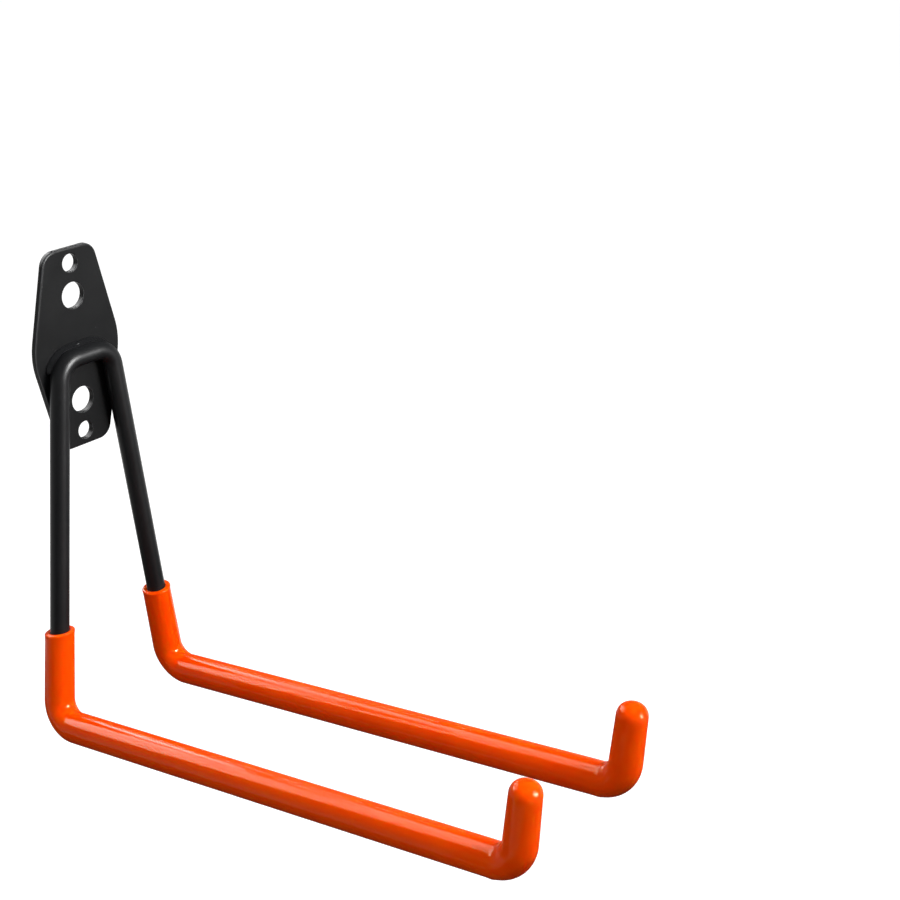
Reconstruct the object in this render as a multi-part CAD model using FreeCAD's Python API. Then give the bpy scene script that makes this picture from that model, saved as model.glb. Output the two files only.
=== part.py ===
import FreeCAD, Part
import math
import os

# Garage utility hook, in millimetres.
# The origin is the centre of the plate's rear face, +Y runs into the wall and +Z is up.
# Left and right are as seen by someone who faces the wall.

# Back plate: a stamped hexagon, widest at its waist
plate_thickness = 2.5
plate_height = 84.0
plate_end_width = 25.0          # between the sharp corners, before rounding
plate_waist_width = 45.2        # between the sharp corners, before rounding
plate_end_corner_radius = 6.5
plate_waist_corner_radius = 30.0
plate_front_edge_radius = 0.8
plate_rear_edge_radius = 0.4
small_hole_diameter = 7.5
small_hole_inset = 6.3          # from the plate's end to the hole's centre
large_hole_diameter = 11.0
large_hole_inset = 19.75
hole_edge_radius = 0.3

# Bent bar, sized on its centre line between the sharp corners
bar_diameter = 8.0
crown_width = 26.0
crown_height = -1.9             # the crown's centre line, from the plate's centre
crown_bend_radius = 9.0
foot_width = 64.3               # between the legs where they turn into the arms
foot_height = -158.5
foot_bend_radius = 10.0
arm_reach = 242.8               # from the legs to the tips, level
arm_rise_angle = 7.3
tip_bend_radius = 12.5
tip_length = 32.2               # from the sharp corner to the bar's cut end
tip_lean_angle = 6.1            # the tips lean out, away from the wall

# Soft sleeves on the arms, thickest along the arms and thinner to both ends
sleeve_mouth_wall = 2.1
sleeve_leg_wall = 2.3           # where the leg starts to turn into the arm
sleeve_arm_wall = 2.7
sleeve_tip_wall = 2.4           # where the arm has turned up into the tip
sleeve_end_wall = 2.0
sleeve_end_cap = 2.4            # beyond the bar's cut end
sleeve_mouth_height = -116.9    # where the sleeve's mouth crosses the leg's centre line
sleeve_dome_radius = 4.8
sleeve_lip_radius = 1.1
sleeve_inner_lip_radius = 0.5

# Weld bead round the outside of the crown
weld_bead_radius = 1.6
weld_centre_height = 0.8        # above the plate's front face
weld_bite = 0.9                 # how deep the bead's round reaches into the bar
weld_end_angle = 70.0           # how far the bead follows each bend of the crown

bar_radius = bar_diameter / 2
front_face_y = -plate_thickness
bar_y = front_face_y - bar_radius
into_wall = FreeCAD.Vector(0, 1, 0)


def rounded_route(points, radii, closed=False):
    """Straight runs through the points, joined by tangent arcs. One radius for each corner."""
    count = len(points)
    corners = range(count) if closed else range(1, count - 1)
    entries = {}
    exits = {}
    middles = {}
    for number, index in enumerate(corners):
        corner = points[index]
        back = (points[index - 1] - corner).normalize()
        ahead = (points[(index + 1) % count] - corner).normalize()
        half_turn = (math.pi - back.getAngle(ahead)) / 2
        setback = radii[number] * math.tan(half_turn)
        bisector = (back + ahead).normalize()
        inset = radii[number] * (1 / math.cos(half_turn) - 1)
        entries[index] = corner + back * setback
        exits[index] = corner + ahead * setback
        middles[index] = corner + bisector * inset
    edges = []
    for index in range(count if closed else count - 1):
        following = (index + 1) % count
        start = exits.get(index, points[index])
        end = entries.get(following, points[following])
        edges.append(Part.LineSegment(start, end).toShape())
        if following in entries:
            arc = Part.Arc(entries[following], middles[following], exits[following])
            edges.append(arc.toShape())
    return Part.Wire(edges)


def section_at(edge, parameter, radius):
    """A round section square to an edge of a route."""
    circle = Part.Circle(edge.valueAt(parameter), edge.tangentAt(parameter), radius)
    return Part.Wire([circle.toShape()])


def round_bar(route, radius):
    """A round section swept along a route."""
    first = route.OrderedEdges[0]
    return route.makePipeShell([section_at(first, first.FirstParameter, radius)], True, True)


def tapered_bar(route, radii):
    """Round runs joined end to end. The radii are those at the route's start, joints and end."""
    runs = []
    for edge, start_radius, end_radius in zip(route.OrderedEdges, radii, radii[1:]):
        start = section_at(edge, edge.FirstParameter, start_radius)
        end = section_at(edge, edge.LastParameter, end_radius)
        runs.append(Part.Wire([edge]).makePipeShell([start, end], True, True))
    return runs[0].fuse(runs[1:]).removeSplitter()


def edges_at_plane(shape, point, normal):
    """The edges that lie wholly in the plane through the point."""
    found = []
    for edge in shape.Edges:
        samples = [edge.valueAt(edge.FirstParameter), edge.valueAt(edge.LastParameter), edge.CenterOfMass]
        if all(abs((sample - point).dot(normal)) < 1e-4 for sample in samples):
            found.append(edge)
    return found


def drill(shape, diameter, height):
    """A round hole through the plate, on its centre line."""
    start = FreeCAD.Vector(0, front_face_y, height)
    return shape.cut(Part.makeCylinder(diameter / 2, plate_thickness, start, into_wall))


def make_back_plate():
    end = plate_end_width / 2
    waist = plate_waist_width / 2
    top = plate_height / 2
    outline = [(-end, top), (end, top), (waist, 0), (end, -top), (-end, -top), (-waist, 0)]
    points = [FreeCAD.Vector(x, front_face_y, z) for x, z in outline]
    end_radius = plate_end_corner_radius
    waist_radius = plate_waist_corner_radius
    radii = [end_radius, end_radius, waist_radius, end_radius, end_radius, waist_radius]
    face = Part.Face(rounded_route(points, radii, closed=True))
    plate = face.extrude(into_wall * plate_thickness)
    front = FreeCAD.Vector(0, front_face_y, 0)
    rear = FreeCAD.Vector(0, 0, 0)
    plate = plate.makeFillet(plate_front_edge_radius, edges_at_plane(plate, front, into_wall))
    plate = plate.makeFillet(plate_rear_edge_radius, edges_at_plane(plate, rear, into_wall))
    for side in (1, -1):
        plate = drill(plate, small_hole_diameter, side * (top - small_hole_inset))
        plate = drill(plate, large_hole_diameter, side * (top - large_hole_inset))
    rims = [edge for edge in edges_at_plane(plate, front, into_wall) if edge.isClosed()]
    return plate.makeFillet(hole_edge_radius, rims)


def bar_corners(side):
    """The crown's corner, the foot's corner, the tip's corner and the bar's cut end, on one side."""
    rise = math.tan(math.radians(arm_rise_angle))
    lean = math.radians(tip_lean_angle)
    crown = FreeCAD.Vector(side * crown_width / 2, bar_y, crown_height)
    foot = FreeCAD.Vector(side * foot_width / 2, bar_y, foot_height)
    tip = foot + FreeCAD.Vector(0, -arm_reach, arm_reach * rise)
    end = tip + FreeCAD.Vector(0, -math.sin(lean), math.cos(lean)) * tip_length
    return crown, foot, tip, end


def make_hook_bar():
    left = bar_corners(-1)
    right = bar_corners(1)
    points = list(reversed(left)) + list(right)
    half_radii = [tip_bend_radius, foot_bend_radius, crown_bend_radius]
    route = rounded_route(points, half_radii + half_radii[::-1])
    return round_bar(route, bar_radius)


def make_sleeve(side, bar):
    crown, foot, tip, end = bar_corners(side)
    share = (crown_height - sleeve_mouth_height) / (crown_height - foot_height)
    mouth = crown + (foot - crown) * share
    down_leg = (foot - crown).normalize()
    up_tip = (end - tip).normalize()
    closed_end = end + up_tip * sleeve_end_cap
    route = rounded_route([mouth, foot, tip, closed_end], [foot_bend_radius, tip_bend_radius])
    walls = [sleeve_mouth_wall, sleeve_leg_wall, sleeve_arm_wall, sleeve_arm_wall, sleeve_tip_wall, sleeve_end_wall]
    sleeve = tapered_bar(route, [bar_radius + wall for wall in walls])
    sleeve = sleeve.makeFillet(sleeve_dome_radius, edges_at_plane(sleeve, closed_end, up_tip))
    sleeve = sleeve.makeFillet(sleeve_lip_radius, edges_at_plane(sleeve, mouth, down_leg))
    sleeve = sleeve.cut(bar)
    inner_edges = [
        edge for edge in edges_at_plane(sleeve, mouth, down_leg)
        if edge.BoundBox.DiagonalLength < 3 * bar_radius
    ]
    return sleeve.makeFillet(sleeve_inner_lip_radius, inner_edges)


def make_crown_weld(plate, bar):
    reach = bar_radius + weld_bead_radius - weld_bite
    offset = math.sqrt(reach ** 2 - (bar_radius - weld_centre_height) ** 2)
    radius = crown_bend_radius + offset
    crown, foot = bar_corners(1)[:2]
    turn = (foot - crown).getAngle(FreeCAD.Vector(1, 0, 0))
    centre_x = crown_width / 2 - crown_bend_radius * math.tan(turn / 2)
    centre_z = crown_height - crown_bend_radius
    bead_y = front_face_y - weld_centre_height

    def place(side, angle):
        x = side * (centre_x + radius * math.sin(math.radians(angle)))
        z = centre_z + radius * math.cos(math.radians(angle))
        return FreeCAD.Vector(x, bead_y, z)

    left = [place(-1, angle) for angle in (weld_end_angle, weld_end_angle / 2, 0)]
    right = [place(1, angle) for angle in (0, weld_end_angle / 2, weld_end_angle)]
    route = Part.Wire([
        Part.Arc(*left).toShape(),
        Part.LineSegment(left[-1], right[0]).toShape(),
        Part.Arc(*right).toShape(),
    ])
    bead = round_bar(route, weld_bead_radius)
    for end_point in (left[0], right[-1]):
        bead = bead.fuse(Part.makeSphere(weld_bead_radius, end_point))
    return bead.cut([plate, bar])


def main():
    os.makedirs("parts", exist_ok=True)
    plate = make_back_plate()
    bar = make_hook_bar()
    nodes = {
        "back_plate": plate,
        "hook_bar": bar,
        "crown_weld": make_crown_weld(plate, bar),
        "left_sleeve": make_sleeve(-1, bar),
        "right_sleeve": make_sleeve(1, bar),
    }
    for name, shape in nodes.items():
        solid = shape.Solids[0] if len(shape.Solids) == 1 else shape
        solid.exportStep(f"parts/{name}.step")
        print(name, "solids", len(shape.Solids), "valid", shape.isValid(), "volume", round(shape.Volume, 1))


main()
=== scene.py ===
import bpy
import bmesh
import math
from mathutils import Matrix, Quaternion, Vector, noise


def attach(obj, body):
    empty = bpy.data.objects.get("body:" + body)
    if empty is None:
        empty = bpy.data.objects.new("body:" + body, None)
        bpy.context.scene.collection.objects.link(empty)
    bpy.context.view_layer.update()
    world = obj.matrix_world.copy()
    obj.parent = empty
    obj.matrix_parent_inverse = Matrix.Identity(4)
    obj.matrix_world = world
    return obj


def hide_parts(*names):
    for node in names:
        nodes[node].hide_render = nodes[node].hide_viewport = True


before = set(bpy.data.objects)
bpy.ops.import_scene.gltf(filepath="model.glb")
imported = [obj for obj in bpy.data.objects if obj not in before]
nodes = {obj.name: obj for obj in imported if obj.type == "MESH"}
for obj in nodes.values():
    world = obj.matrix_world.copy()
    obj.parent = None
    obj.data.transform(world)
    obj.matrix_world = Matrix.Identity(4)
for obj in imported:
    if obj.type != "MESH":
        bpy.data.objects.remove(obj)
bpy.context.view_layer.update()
scene = bpy.context.scene
mm = 0.001
print("frame loaded", sorted(nodes))


# camera first, so the view stays put while the rest changes

cameraPlace = {
    "place": (-0.4444, -0.5559, 0.2345),
    "azimuth": -51.014,
    "elevation": 22.105,
    "roll": -0.833,
    "lens": 71.916,
    "sensor": 36,
    "clip": (0.01, 60),
}


def makeCamera(c):
    data = bpy.data.cameras.new("camera")
    data.sensor_width = c["sensor"]
    data.lens = c["lens"]
    data.clip_start, data.clip_end = c["clip"]
    camera = bpy.data.objects.new("camera", data)
    turn = Matrix.Rotation(math.radians(c["azimuth"]), 4, "Z")
    tip = Matrix.Rotation(math.radians(90 - c["elevation"]), 4, "X")
    roll = Matrix.Rotation(math.radians(c["roll"]), 4, "Z")
    camera.matrix_world = Matrix.Translation(c["place"]) @ turn @ tip @ roll
    scene.collection.objects.link(camera)
    scene.camera = camera


makeCamera(cameraPlace)
print("camera set")


# small helpers for node trees

def newFinish(name):
    finish = bpy.data.materials.new(name)
    finish.use_nodes = True
    tree = finish.node_tree
    tree.nodes.clear()
    out = tree.nodes.new("ShaderNodeOutputMaterial")
    shader = tree.nodes.new("ShaderNodeBsdfPrincipled")
    tree.links.new(shader.outputs["BSDF"], out.inputs["Surface"])
    return finish, tree, shader


def addNoise(tree, where, scale, detail=2.0, roughness=0.5):
    texture = tree.nodes.new("ShaderNodeTexNoise")
    texture.inputs["Scale"].default_value = scale
    texture.inputs["Detail"].default_value = detail
    texture.inputs["Roughness"].default_value = roughness
    tree.links.new(where, texture.inputs["Vector"])
    return texture.outputs["Fac"]


def addRange(tree, value, fromLow, fromHigh, toLow, toHigh):
    change = tree.nodes.new("ShaderNodeMapRange")
    change.inputs["From Min"].default_value = fromLow
    change.inputs["From Max"].default_value = fromHigh
    change.inputs["To Min"].default_value = toLow
    change.inputs["To Max"].default_value = toHigh
    tree.links.new(value, change.inputs["Value"])
    return change.outputs["Result"]


def addMix(tree, factor, first, second):
    mix = tree.nodes.new("ShaderNodeMix")
    mix.data_type = "RGBA"
    tree.links.new(factor, mix.inputs["Factor"])
    for color, name in ((first, "A"), (second, "B")):
        socket = [s for s in mix.inputs if s.name == name and s.type == "RGBA"][0]
        if isinstance(color, tuple):
            socket.default_value = (*color, 1)
        else:
            tree.links.new(color, socket)
    return [s for s in mix.outputs if s.type == "RGBA"][0]


def addMath(tree, operation, first, second):
    node = tree.nodes.new("ShaderNodeMath")
    node.operation = operation
    for index, value in enumerate((first, second)):
        if isinstance(value, (int, float)):
            node.inputs[index].default_value = value
        else:
            tree.links.new(value, node.inputs[index])
    return node.outputs["Value"]


def addBump(tree, height, strength, distance, before=None):
    bump = tree.nodes.new("ShaderNodeBump")
    bump.inputs["Strength"].default_value = strength
    bump.inputs["Distance"].default_value = distance
    tree.links.new(height, bump.inputs["Height"])
    if before is not None:
        tree.links.new(before, bump.inputs["Normal"])
    return bump.outputs["Normal"]


def objectPlace(tree):
    return tree.nodes.new("ShaderNodeTexCoord").outputs["Object"]


# satin black powder coat, on the plate, the bar and the weld

blackCoat = {
    "color": (0.0074, 0.0077, 0.0083),
    "dustColor": (0.0128, 0.0132, 0.0140),
    "dustLeast": 0.25,         # how dusty the clean patches still are
    "roughnessLow": 0.30,
    "roughnessHigh": 0.38,
    "specular": 0.11,
    "edgeHighlightColor": (0.085, 0.086, 0.088),   # painted highlight: light lines on the plate's rounded edges
    "edgeHighlightLeast": 0.5,
    "edgeHighlightRise": (0.25, 0.55),   # where the painted edge highlight starts and stops, as the edge rolls to the front
    "edgeHighlightFall": (0.80, 0.97),
    "peelScale": 900,          # orange peel of the sprayed powder, about a millimetre across
    "peelHeight": 0.00002,
    "peelStrength": 0.6,
    "grainScale": 5200,
    "grainHeight": 0.000006,
    "grainStrength": 0.5,
    "grainRange": (0.42, 0.68),
    "grainShare": 0.5,         # of the grain in the uneven roughness
    "cloudScale": 38,
    "cloudRange": (0.3, 0.7),
    "patchRange": (0.5, 1.0),
}


def edgeMask(tree, c):
    # 1 on the plate's rounded edges, 0 on its faces and straight sides
    split = tree.nodes.new("ShaderNodeSeparateXYZ")
    normal = tree.nodes.new("ShaderNodeNewGeometry").outputs["Normal"]
    tree.links.new(normal, split.inputs["Vector"])
    facing = addMath(tree, "ABSOLUTE", split.outputs["Y"], 0)
    rise = addRange(tree, facing, *c["edgeHighlightRise"], 0.0, 1.0)
    fall = addRange(tree, facing, *c["edgeHighlightFall"], 1.0, 0.0)
    return addMath(tree, "MULTIPLY", rise, fall)


def makeBlackCoat(name, c, paintEdgeHighlight=False):
    finish, tree, shader = newFinish(name)
    where = objectPlace(tree)
    clouds = addNoise(tree, where, c["cloudScale"], detail=3.0)
    peel = addNoise(tree, where, c["peelScale"], detail=1.5, roughness=0.4)
    grain = addNoise(tree, where, c["grainScale"], detail=1.0)
    specks = addRange(tree, grain, *c["grainRange"], 0.0, 1.0)
    dusty = addRange(tree, clouds, *c["cloudRange"], c["dustLeast"], 1.0)
    shade = addMath(tree, "MULTIPLY", specks, dusty)
    color = addMix(tree, shade, c["color"], c["dustColor"])
    # painted highlight: light lines on the plate's rounded edges, made patchy by the clouds
    if paintEdgeHighlight:
        highlightPatches = addRange(tree, clouds, *c["cloudRange"], c["edgeHighlightLeast"], 1.0)
        paintedHighlight = addMath(tree, "MULTIPLY", edgeMask(tree, c), highlightPatches)
        color = addMix(tree, paintedHighlight, color, c["edgeHighlightColor"])
    tree.links.new(color, shader.inputs["Base Color"])
    patches = addMath(tree, "ADD", clouds, addMath(tree, "MULTIPLY", grain, c["grainShare"]))
    rough = addRange(tree, patches, *c["patchRange"], c["roughnessLow"], c["roughnessHigh"])
    tree.links.new(rough, shader.inputs["Roughness"])
    shader.inputs["Specular IOR Level"].default_value = c["specular"]
    fine = addBump(tree, grain, c["grainStrength"], c["grainHeight"])
    coarse = addBump(tree, peel, c["peelStrength"], c["peelHeight"], fine)
    tree.links.new(coarse, shader.inputs["Normal"])
    return finish


# a darker, duller copy of the bar's coat: its deeper colour is painted shade, which keeps the
# plate's face darker than the bar
shadedPlateCoat = {
    **blackCoat,
    "color": (0.0043, 0.0045, 0.0048),
    "dustColor": (0.0076, 0.0078, 0.0083),
    "specular": 0.075,
}


# glossy dipped plastic of the sleeves

orangeSkin = {
    "color": (0.92, 0.074, 0.0005),
    "deepColor": (0.89, 0.064, 0.0004),
    "cloudScale": 55,
    "cloudRange": (0.35, 0.65),
    "roughnessLow": 0.06,
    "roughnessHigh": 0.10,
    "smearScale": 260,
    "smearRange": (0.35, 0.7),
    "specular": 0.07,
    "glint": (1.0, 0.86, 0.54),
    "scatterWeight": 0.55,
    "scatterScale": 0.0030,
    "scatterRadius": (1.0, 0.08, 0.02),
    "waveScale": 120,          # slow waves left by the dip
    "waveHeight": 0.000012,
    "waveStrength": 0.5,
    "poreScale": 1500,
    "poreHeight": 0.0000025,
    "poreStrength": 0.4,
}


def makeOrangeSkin(c):
    finish, tree, shader = newFinish("orangeDippedPlastic")
    where = objectPlace(tree)
    clouds = addNoise(tree, where, c["cloudScale"])
    shade = addRange(tree, clouds, *c["cloudRange"], 0.0, 1.0)
    tree.links.new(addMix(tree, shade, c["color"], c["deepColor"]), shader.inputs["Base Color"])
    smears = addNoise(tree, where, c["smearScale"], detail=3.0, roughness=0.6)
    rough = addRange(tree, smears, *c["smearRange"], c["roughnessLow"], c["roughnessHigh"])
    tree.links.new(rough, shader.inputs["Roughness"])
    shader.inputs["Specular IOR Level"].default_value = c["specular"]
    shader.inputs["Specular Tint"].default_value = (*c["glint"], 1)
    shader.inputs["Subsurface Weight"].default_value = c["scatterWeight"]
    shader.inputs["Subsurface Scale"].default_value = c["scatterScale"]
    shader.inputs["Subsurface Radius"].default_value = c["scatterRadius"]
    dip = addNoise(tree, where, c["waveScale"], detail=1.0)
    waves = addBump(tree, dip, c["waveStrength"], c["waveHeight"])
    pits = addNoise(tree, where, c["poreScale"], detail=1.0)
    pores = addBump(tree, pits, c["poreStrength"], c["poreHeight"], waves)
    tree.links.new(pores, shader.inputs["Normal"])
    return finish


blackFinish = makeBlackCoat("satinBlackPowderCoat", blackCoat)
shadedPlateFinish = makeBlackCoat("satinBlackPlateCoat", shadedPlateCoat, paintEdgeHighlight=True)
orangeFinish = makeOrangeSkin(orangeSkin)
for name, node in nodes.items():
    node.data.materials.clear()
    node.data.materials.append(shadedPlateFinish if name == "back_plate" else blackFinish)
print("finishes made")


# the bar's route, in millimetres, which the sleeves and the weld follow

barLine = {
    "radius": 4.0,
    "depth": -6.5,                # the crown and the legs lie in one plane
    "crown": (13.0, -1.9),        # half width and height of the crown's corners
    "foot": (32.15, -158.5),
    "crownBend": 9.0,
    "footBend": 10.0,
    "tipBend": 12.5,
    "reach": 242.8,
    "rise": 7.3,
    "tipLength": 32.2,
    "tipLean": 6.1,
}
plateFace = barLine["depth"] + barLine["radius"]
outwards = Vector((0, -1, 0))     # away from the wall


def barCorners(c, side):
    lean = math.radians(c["tipLean"])
    crown = Vector((side * c["crown"][0], c["depth"], c["crown"][1]))
    foot = Vector((side * c["foot"][0], c["depth"], c["foot"][1]))
    tip = foot + Vector((0, -c["reach"], c["reach"] * math.tan(math.radians(c["rise"]))))
    end = tip + Vector((0, -math.sin(lean), math.cos(lean))) * c["tipLength"]
    return crown, foot, tip, end


def makeRoute(points, bends):
    # straight runs joined by arcs: each piece keeps where it starts and how it turns
    pieces = []
    here = points[0]
    distance = 0.0
    turned = Quaternion()
    for index in range(1, len(points)):
        last = index == len(points) - 1
        ahead = (points[index] - points[index - 1]).normalized()
        stop = points[index]
        if not last:
            after = (points[index + 1] - points[index]).normalized()
            half = ahead.angle(after) / 2
            radius = bends[index - 1]
            stop = points[index] - ahead * radius * math.tan(half)
        run = {"start": distance, "length": (stop - here).length, "from": here}
        pieces.append({**run, "ahead": ahead, "turned": turned})
        distance += run["length"]
        if not last:
            axis = ahead.cross(after).normalized()
            arc = {"start": distance, "length": 2 * half * radius, "from": stop}
            pieces.append({**arc, "ahead": ahead, "turned": turned, "axis": axis, "radius": radius})
            distance += arc["length"]
            here = points[index] + after * radius * math.tan(half)
            turned = Quaternion(axis, 2 * half) @ turned
    return pieces


def routeAt(route, distance):
    # the place and the turn at a distance along the route
    piece = route[0]
    for candidate in route:
        if distance >= candidate["start"]:
            piece = candidate
    gone = distance - piece["start"]
    if "axis" not in piece:
        return piece["from"] + piece["ahead"] * gone, piece["turned"]
    angle = gone / piece["radius"]
    inward = piece["axis"].cross(piece["ahead"])
    centre = piece["from"] + inward * piece["radius"]
    spin = Quaternion(piece["axis"], angle)
    return centre - spin @ inward * piece["radius"], spin @ piece["turned"]


def skinRings(name, route, rings, segments, finish, lean=None):
    # each ring is (distance, radius), and the radius may be a function of the angle
    # the first and the last ring are single points
    ahead = route[0]["ahead"]
    across = ahead.cross(outwards).normalized()
    front = across.cross(ahead)
    sketch = bmesh.new()
    loops = []
    for number, (distance, radius) in enumerate(rings):
        if number in (0, len(rings) - 1):
            place, turned = routeAt(route, distance)
            loops.append([sketch.verts.new(place * mm)])
            continue
        loop = []
        for k in range(segments):
            angle = 2 * math.pi * k / segments
            size = radius(angle) if callable(radius) else radius
            shift = lean(distance, angle) * size if lean else 0.0
            place, turned = routeAt(route, distance + shift)
            out = turned @ (front * math.cos(angle) + across * math.sin(angle))
            loop.append(sketch.verts.new((place + out * size) * mm))
        loops.append(loop)
    for first, second in zip(loops, loops[1:]):
        for k in range(segments):
            following = (k + 1) % segments
            if len(first) == 1:
                corners = (first[0], second[k], second[following])
            elif len(second) == 1:
                corners = (first[k], second[0], first[following])
            else:
                corners = (first[k], second[k], second[following], first[following])
            sketch.faces.new(corners)
    bmesh.ops.recalc_face_normals(sketch, faces=sketch.faces)
    mesh = bpy.data.meshes.new(name)
    sketch.to_mesh(mesh)
    sketch.free()
    mesh.shade_smooth()
    mesh.materials.append(finish)
    piece = bpy.data.objects.new(name, mesh)
    scene.collection.objects.link(piece)
    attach(piece, "root")
    return piece


# soft sleeves, dipped on the bent bar: thick on the arm, thinner to both ends

sleeveShape = {
    "mouthHeight": {-1: -116.7, 1: -117.5},     # cut by hand, so a little different on each side
    "mouthLean": {-1: 0.20, 1: 0.04},
    "mouthTurn": -39.0,
    "leanReach": 9.0,
    "endCap": {-1: 3.1, 1: 2.95},
    "radii": (6.1, 6.3, 6.7, 6.7, 6.4, 5.90),   # mouth, leg, arm, arm, tip, end
    "slack": 0.03,             # kept under the solid's size
    "blendReach": 3.0,
    "bore": 4.02,
    "boreGap": 0.05,           # the bore ends just past the bar's cut end
    "boreClear": 0.6,
    "boreStep": 4.0,
    "boreBendStep": 1.2,
    "looseBore": 4.18,         # the mouth stands a little off the bar
    "looseDepth": 4.0,
    "looseRings": 4,
    "lip": 0.70,
    "lipRings": 8,
    "innerLip": 0.30,
    "innerLipRings": 5,
    "lipSwell": 0.17,
    "lipSwellWidth": 0.9,
    "domeHeight": 5.6,
    "domePower": 2.4,          # 2 would be an ellipse, more is squarer
    "domeRings": 15,
    "step": 1.6,
    "bendStep": 0.5,
    "mouthStep": 0.4,
    "mouthReach": 4.0,
    "segments": 80,
    "wave": 0.008,
    "waveLength": 26.0,
    "waveShift": 7.0,          # so the two sleeves aren't alike
    "folds": [(-2.5, 0.18, 1.6), (0.0, -0.30, 1.1), (2.2, 0.09, 1.5)],   # along, height, width
    "foldSpread": 0.55,        # round the inside of the tip's bend, in radians
    "foldReach": 12.0,
    "kinkHeight": 0.22,        # the small step under the start of the tip's bend
    "kinkShift": 0.6,
    "kinkWidth": 0.8,
    "kinkSpread": 0.9,
}


def bell(x, width):
    return math.exp(-(x / width) ** 2)


def angleBetween(a, b):
    return abs((a - b + math.pi) % (2 * math.pi) - math.pi)


def spread(start, stop, step):
    # even steps from the start up to the stop, without the stop itself
    count = max(1, math.ceil((stop - start) / step))
    return [start + (stop - start) * k / count for k in range(count)]


def makeSleeve(name, node, side, c):
    crown, foot, tip, end = barCorners(barLine, side)
    share = (crown.z - c["mouthHeight"][side]) / (crown.z - foot.z)
    mouth = crown.lerp(foot, share)
    cap = c["endCap"][side]
    closed = end + (end - tip).normalized() * cap
    route = makeRoute([mouth, foot, tip, closed], [barLine["footBend"], barLine["tipBend"]])
    marks = [piece["start"] for piece in route] + [route[-1]["start"] + route[-1]["length"]]
    footStart, footEnd, tipStart, tipEnd, total = marks[1:]
    tipMiddle = (tipStart + tipEnd) / 2

    def tapered(distance):
        for index in range(len(marks) - 1):
            if distance <= marks[index + 1] or index == len(marks) - 2:
                part = (distance - marks[index]) / (marks[index + 1] - marks[index])
                part = min(1.0, max(0.0, part))
                return c["radii"][index] + (c["radii"][index + 1] - c["radii"][index]) * part

    def plain(distance):
        near = [tapered(distance + c["blendReach"] * k / 2) for k in (-2, -1, 0, 1, 2)]
        return sum(near) / len(near) - c["slack"]

    def swell(distance):
        return c["lipSwell"] * bell(distance - c["lip"], c["lipSwellWidth"])

    def wall(distance):
        base = plain(distance) + swell(distance)

        def radius(angle):
            size = base
            place = Vector((math.cos(angle), math.sin(angle), distance / c["waveLength"]))
            size += c["wave"] * noise.noise(place + Vector((side * c["waveShift"], 0, 0)))
            if abs(distance - tipMiddle) < c["foldReach"]:
                inside = bell(angleBetween(angle, 0.0), c["foldSpread"])
                for along, height, width in c["folds"]:
                    size += height * inside * bell(distance - tipMiddle - along, width)
                outside = bell(angleBetween(angle, math.pi), c["kinkSpread"])
                kink = bell(distance - tipStart - c["kinkShift"], c["kinkWidth"])
                size += c["kinkHeight"] * outside * kink
            return size
        return radius

    def lean(distance, angle):
        fade = max(0.0, 1 - distance / c["leanReach"])
        return -c["mouthLean"][side] * fade * math.cos(angle - math.radians(c["mouthTurn"]))

    # along the bore from its closed end to the loose mouth
    boreEnd = total - cap + c["boreGap"]
    inner = []
    for number, (start, stop) in enumerate(zip(marks, marks[1:])):
        inner += spread(start, stop, c["boreBendStep"] if number % 2 else c["boreStep"])
    inner = [d for d in inner if c["looseDepth"] < d < boreEnd - c["boreClear"]]
    rings = [(boreEnd, 0.0), (boreEnd, c["bore"] / 2)]
    rings += [(d, c["bore"]) for d in [boreEnd] + inner[::-1]]
    for k in range(c["looseRings"] + 1):
        part = k / c["looseRings"]
        depth = c["looseDepth"] * (1 - part) + c["innerLip"] * part
        rings.append((depth, c["bore"] + (c["looseBore"] - c["bore"]) * part))

    # round the lip, inside and outside
    for k in range(1, c["innerLipRings"] + 1):
        t = math.pi / 2 * k / c["innerLipRings"]
        depth = c["innerLip"] * (1 - math.sin(t))
        rings.append((depth, c["looseBore"] + c["innerLip"] * (1 - math.cos(t))))
    rim = plain(0.0) - c["lip"]
    rings.append((0.0, (rim + c["looseBore"] + c["innerLip"]) / 2))
    for k in range(c["lipRings"]):
        t = math.pi / 2 * (1 - k / c["lipRings"])
        depth = c["lip"] * (1 - math.sin(t))
        rings.append((depth, rim + c["lip"] * math.cos(t) + swell(depth)))

    # along the outside and over the dome
    domeStart = total - c["domeHeight"]
    outer = spread(c["lip"], c["mouthReach"], c["mouthStep"])
    outer += spread(c["mouthReach"], footStart, c["step"])
    outer += spread(footStart, footEnd, c["bendStep"])
    outer += spread(footEnd, tipStart, c["step"])
    outer += spread(tipStart, tipEnd, c["bendStep"])
    outer += spread(tipEnd, domeStart, c["step"] / 2)
    rings += [(d, wall(d)) for d in outer]
    top = plain(domeStart)
    for k in range(c["domeRings"]):
        t = math.pi / 2 * k / c["domeRings"]
        height = c["domeHeight"] * math.sin(t) ** (2 / c["domePower"])
        rings.append((domeStart + height, top * math.cos(t) ** (2 / c["domePower"])))
    rings.append((total, 0.0))
    piece = skinRings(name, route, rings, c["segments"], orangeFinish, lean)
    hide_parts(node)


makeSleeve("leftSleeveSkin", "left_sleeve", -1, sleeveShape)
makeSleeve("rightSleeveSkin", "right_sleeve", 1, sleeveShape)
print("sleeves made")


# weld bead round the outside of the crown, laid in small overlapping ripples

weldShape = {
    "radius": 1.55,
    "centreHeight": 0.8,       # above the plate's front face
    "offset": 3.44,            # from the bar's centre line, in the plate's plane
    "endAngle": 70.0,
    "endReach": 3.1,           # the ends thin out over this length
    "endLeast": 0.02,
    "flatDepth": 0.95,         # the bead's face, nearly flat from the plate up to the bar
    "flatTurn": -57.0,
    "flatLimit": 0.05,
    "ripple": 0.06,
    "ripplePitch": 1.5,
    "rippleDrift": 0.35,       # the ripples aren't all one pitch apart
    "driftLength": 5.0,
    "driftRow": 3.0,
    "unevenness": 0.11,
    "unevenLength": 6.0,
    "unevenRow": 1.5,
    "step": 0.2,
    "segments": 48,
}


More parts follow.
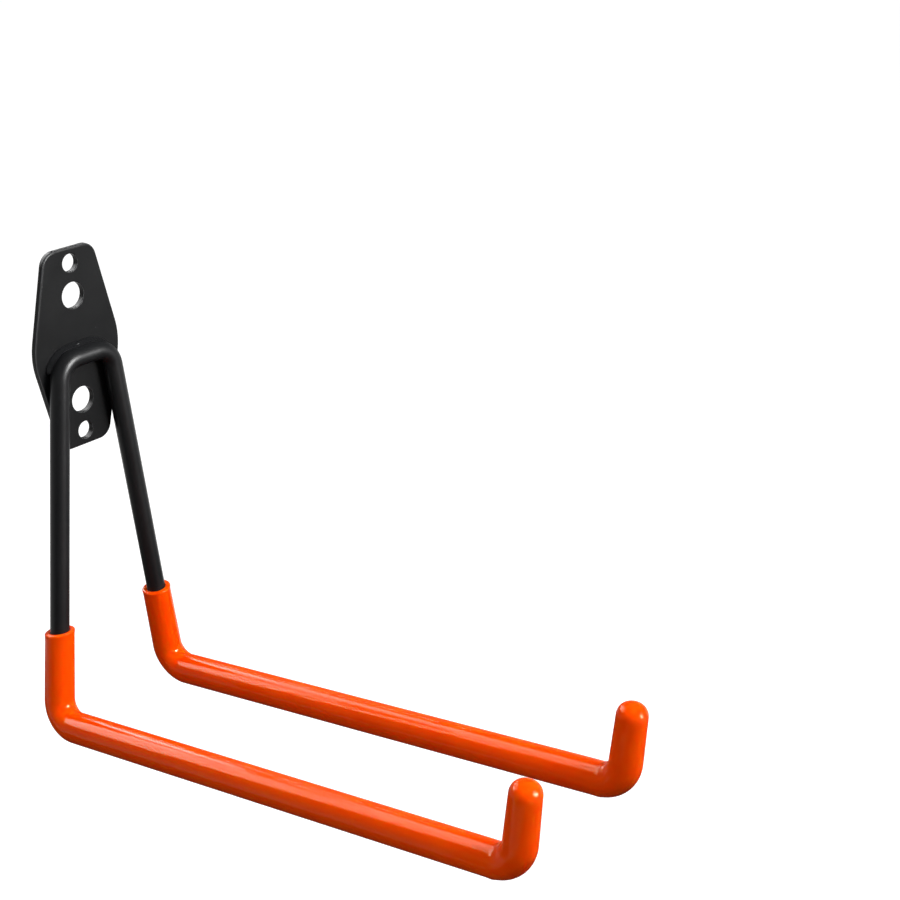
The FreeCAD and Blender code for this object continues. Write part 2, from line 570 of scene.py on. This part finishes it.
def filletSection(c, size, ripple):
    # round underneath, cut nearly flat on the side that shows
    turn = math.radians(c["flatTurn"])

    def radius(angle):
        facing = math.cos(angle - turn)
        if facing <= c["flatLimit"]:
            return size
        return min(size, (c["flatDepth"] * size / c["radius"] + ripple) / facing)
    return radius


def makeWeld(c):
    radius = barLine["crownBend"] + c["offset"]
    crown, foot = barCorners(barLine, 1)[:2]
    turn = (foot - crown).angle(Vector((1, 0, 0)))
    centreX = crown.x - barLine["crownBend"] * math.tan(turn / 2)
    centreZ = crown.z - barLine["crownBend"]
    y = plateFace - c["centreHeight"]
    sweep = math.radians(c["endAngle"])
    endX = centreX + radius * math.sin(sweep)
    endZ = centreZ + radius * math.cos(sweep)

    # one corner for each bend: where the tangents at the bead's ends meet the level top
    cornerX = centreX + radius * math.tan(sweep / 2)
    topZ = centreZ + radius
    corners = [(-endX, endZ), (-cornerX, topZ), (cornerX, topZ), (endX, endZ)]
    route = makeRoute([Vector((x, y, z)) for x, z in corners], [radius, radius])
    total = route[-1]["start"] + route[-1]["length"]
    count = round(total / c["step"])
    rings = [(0.0, 0.0)]
    for k in range(1, count):
        distance = total * k / count
        drift = noise.noise(Vector((distance / c["driftLength"], c["driftRow"], 0)))
        phase = (distance / c["ripplePitch"] + c["rippleDrift"] * drift) % 1.0
        ripple = c["ripple"] * (1 - (2 * phase - 1) ** 2)
        uneven = noise.noise(Vector((distance / c["unevenLength"], 0, c["unevenRow"])))
        size = c["radius"] * (1 + c["unevenness"] * uneven)
        edge = min(distance, total - distance)
        taper = 1.0
        if edge < c["endReach"]:
            taper = math.sqrt(max(c["endLeast"], 1 - (1 - edge / c["endReach"]) ** 2))
        rings.append((distance, filletSection(c, size * taper, ripple * taper)))
    rings.append((total, 0.0))
    piece = skinRings("crownWeldBead", route, rings, c["segments"], blackFinish)
    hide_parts("crown_weld")
    return piece


# a few small beads of metal that stuck beside the weld

spatterShape = {
    "beads": [                 # across, up, out from the plate, radius
        (-0.9, 2.1, 1.2, 0.85),
        (-12.9, 2.6, 0.03, 0.22),
        (9.9, 6.2, 0.03, 0.20),
    ],
    "smoothness": 3,
    "bulge": 0.18,
    "bulgeScale": 1400,
    "flatten": 0.7,            # against the plate
    "slump": 0.85,
}


def addSpatter(c, weld):
    sketch = bmesh.new()
    sketch.from_mesh(weld.data)
    for across, up, out, size in c["beads"]:
        ball = bmesh.ops.create_icosphere(sketch, subdivisions=c["smoothness"], radius=size * mm)
        for v in ball["verts"]:
            bulge = 1 + c["bulge"] * noise.noise(v.co * c["bulgeScale"])
            v.co = Vector((v.co.x * bulge, v.co.y * c["flatten"], v.co.z * bulge * c["slump"]))
            v.co += Vector((across, plateFace - out, up)) * mm
    for face in sketch.faces:
        face.smooth = True
    sketch.to_mesh(weld.data)
    sketch.free()


addSpatter(spatterShape, makeWeld(weldShape))
print("weld made")


# studio: a pale floor well below the hook, and soft lamps

studio = {
    "floorHeight": -0.42,
    "floorSize": 60.0,
    "floorColor": 0.30,
    "floorGlow": 0.96,
    "horizon": 0.80,           # the world's strength at the horizon and overhead
    "zenith": 0.12,
    "fadeHeight": 0.4,
    "aim": (0.0, -0.13, -0.08),
}

# a lamp stands at a place, or is seen from the hook: azimuth 0 straight out from the wall, 90 right
# the back boxes, the strip and the front spot show in the gloss alone
lamps = {
    "key": {
        "azimuth": 27, "elevation": 45, "distance": 1.5,
        "size": (0.9, 0.9), "level": 16.0, "glossy": False,
    },
    "leftFill": {
        "azimuth": -80, "elevation": 32, "distance": 1.5,
        "size": (0.9, 0.9), "level": 2.6, "glossy": False,
    },
    "backSoft": {
        "azimuth": 160, "elevation": 50, "distance": 1.6,
        "size": (0.8, 0.8), "level": 3.5, "glossy": False,
    },
    "backBoxLow": {
        "place": (-0.13, 1.0, 0.50),
        "size": (1.25, 0.42), "level": 19.0, "diffuse": False,
    },
    "backBoxHigh": {
        "place": (-0.13, 1.0, 1.06),
        "size": (1.25, 0.70), "level": 14.5, "diffuse": False,
    },
    "backStrip": {
        "place": (0.77, 1.0, 0.54), "turn": -44,
        "size": (0.66, 0.05), "level": 17.0, "diffuse": False,
    },
    "frontSpot": {
        "azimuth": 18, "elevation": 16, "distance": 1.2, "round": True,
        "size": (0.54, 0.64), "level": 90.0, "diffuse": False,
    },
}

# dark cards to the left, below, in front and behind keep those sides of the sleeves deep
cards = {
    "leftCard": [
        (-0.50, -0.75, -0.41), (-0.50, 0.10, -0.41), (-0.50, 0.10, -0.12), (-0.50, -0.75, -0.12),
    ],
    "lowCard": [
        (-0.22, -0.50, -0.27), (0.45, -0.50, -0.27), (0.45, -0.03, -0.27), (0.30, -0.02, -0.27),
        (0.24, 0.28, -0.27), (-0.10, 0.34, -0.27), (-0.22, 0.22, -0.27),
    ],
    "frontCard": [
        (0.32, -0.70, -0.27), (0.62, -0.50, -0.27), (1.00, -0.85, -0.27), (0.58, -1.15, -0.27),
    ],
    "backCard": [
        (0.42, 0.60, -0.41), (1.35, 0.60, -0.41), (1.35, 0.60, 0.05), (0.42, 0.60, 0.05),
    ],
}
cardFinish = {
    "color": (0.02, 0.02, 0.02),
    "roughness": 0.9,
    "specular": 0.1,
    "dimming": ("leftCard", "lowCard"),    # these take soft light away too, the others only gloss
}


def towards(azimuth, elevation):
    a, e = math.radians(azimuth), math.radians(elevation)
    return Vector((math.sin(a) * math.cos(e), -math.cos(a) * math.cos(e), math.sin(e)))


def makeLamp(name, c):
    data = bpy.data.lights.new(name, "AREA")
    if "place" in c:
        place = Vector(c["place"])
        out = Vector((0, 1, 0))
    else:
        out = towards(c["azimuth"], c["elevation"])
        place = Vector(studio["aim"]) + out * c["distance"]
    wide, high = c["size"]
    data.shape = "ELLIPSE" if c.get("round") else "RECTANGLE"
    data.size = wide
    data.size_y = high
    data.energy = c["level"] * math.pi * wide * high
    lamp = bpy.data.objects.new(name, data)
    turn = Quaternion(out, math.radians(c.get("turn", 0)))
    lamp.location = place
    lamp.rotation_euler = (turn @ out.to_track_quat("Z", "Y")).to_euler()
    lamp.visible_camera = False
    lamp.visible_diffuse = c.get("diffuse", True)
    lamp.visible_glossy = c.get("glossy", True)
    scene.collection.objects.link(lamp)


def seenRays(tree):
    # rays that show the background: straight from the camera, mirrored or through glass
    rays = tree.nodes.new("ShaderNodeLightPath")
    seen = addMath(tree, "MAXIMUM", rays.outputs["Is Camera Ray"], rays.outputs["Is Glossy Ray"])
    return addMath(tree, "MAXIMUM", seen, rays.outputs["Is Transmission Ray"])


def makeFloor(c):
    sketch = bmesh.new()
    bmesh.ops.create_grid(sketch, x_segments=1, y_segments=1, size=c["floorSize"] / 2)
    mesh = bpy.data.meshes.new("studioFloor")
    sketch.to_mesh(mesh)
    sketch.free()
    floor = bpy.data.objects.new("studioFloor", mesh)
    floor.location.z = c["floorHeight"]
    scene.collection.objects.link(floor)
    finish = bpy.data.materials.new("paleStudioFloor")
    finish.use_nodes = True
    tree = finish.node_tree
    tree.nodes.clear()
    out = tree.nodes.new("ShaderNodeOutputMaterial")
    matt = tree.nodes.new("ShaderNodeBsdfDiffuse")
    matt.inputs["Color"].default_value = (c["floorColor"],) * 3 + (1,)
    glow = tree.nodes.new("ShaderNodeEmission")
    shown = addMath(tree, "MULTIPLY", seenRays(tree), c["floorGlow"])
    tree.links.new(shown, glow.inputs["Strength"])
    both = tree.nodes.new("ShaderNodeAddShader")
    tree.links.new(matt.outputs["BSDF"], both.inputs[0])
    tree.links.new(glow.outputs["Emission"], both.inputs[1])
    tree.links.new(both.outputs["Shader"], out.inputs["Surface"])
    mesh.materials.append(finish)


def makeCard(name, corners, c):
    sketch = bmesh.new()
    sketch.faces.new([sketch.verts.new(corner) for corner in corners])
    mesh = bpy.data.meshes.new(name)
    sketch.to_mesh(mesh)
    sketch.free()
    finish, tree, shader = newFinish(name + "Matt")
    shader.inputs["Base Color"].default_value = (*c["color"], 1)
    shader.inputs["Roughness"].default_value = c["roughness"]
    shader.inputs["Specular IOR Level"].default_value = c["specular"]
    mesh.materials.append(finish)
    piece = bpy.data.objects.new(name, mesh)
    piece.visible_camera = False
    piece.visible_shadow = False
    piece.visible_diffuse = name in c["dimming"]
    scene.collection.objects.link(piece)


def makeWorld(c):
    # pale at the horizon and fading upwards
    world = bpy.data.worlds.new("studioWorld")
    scene.world = world
    world.use_nodes = True
    tree = world.node_tree
    sky = tree.nodes["Background"]
    sky.inputs["Color"].default_value = (1, 1, 1, 1)
    split = tree.nodes.new("ShaderNodeSeparateXYZ")
    where = tree.nodes.new("ShaderNodeTexCoord").outputs["Generated"]
    tree.links.new(where, split.inputs["Vector"])
    fade = addRange(tree, split.outputs["Z"], 0.0, c["fadeHeight"], c["horizon"], c["zenith"])
    tree.links.new(fade, sky.inputs["Strength"])


makeFloor(studio)
for name, corners in cards.items():
    makeCard(name, corners, cardFinish)
makeWorld(studio)
for name, lamp in lamps.items():
    makeLamp(name, lamp)
scene.view_settings.view_transform = "Standard"
print("studio ready")
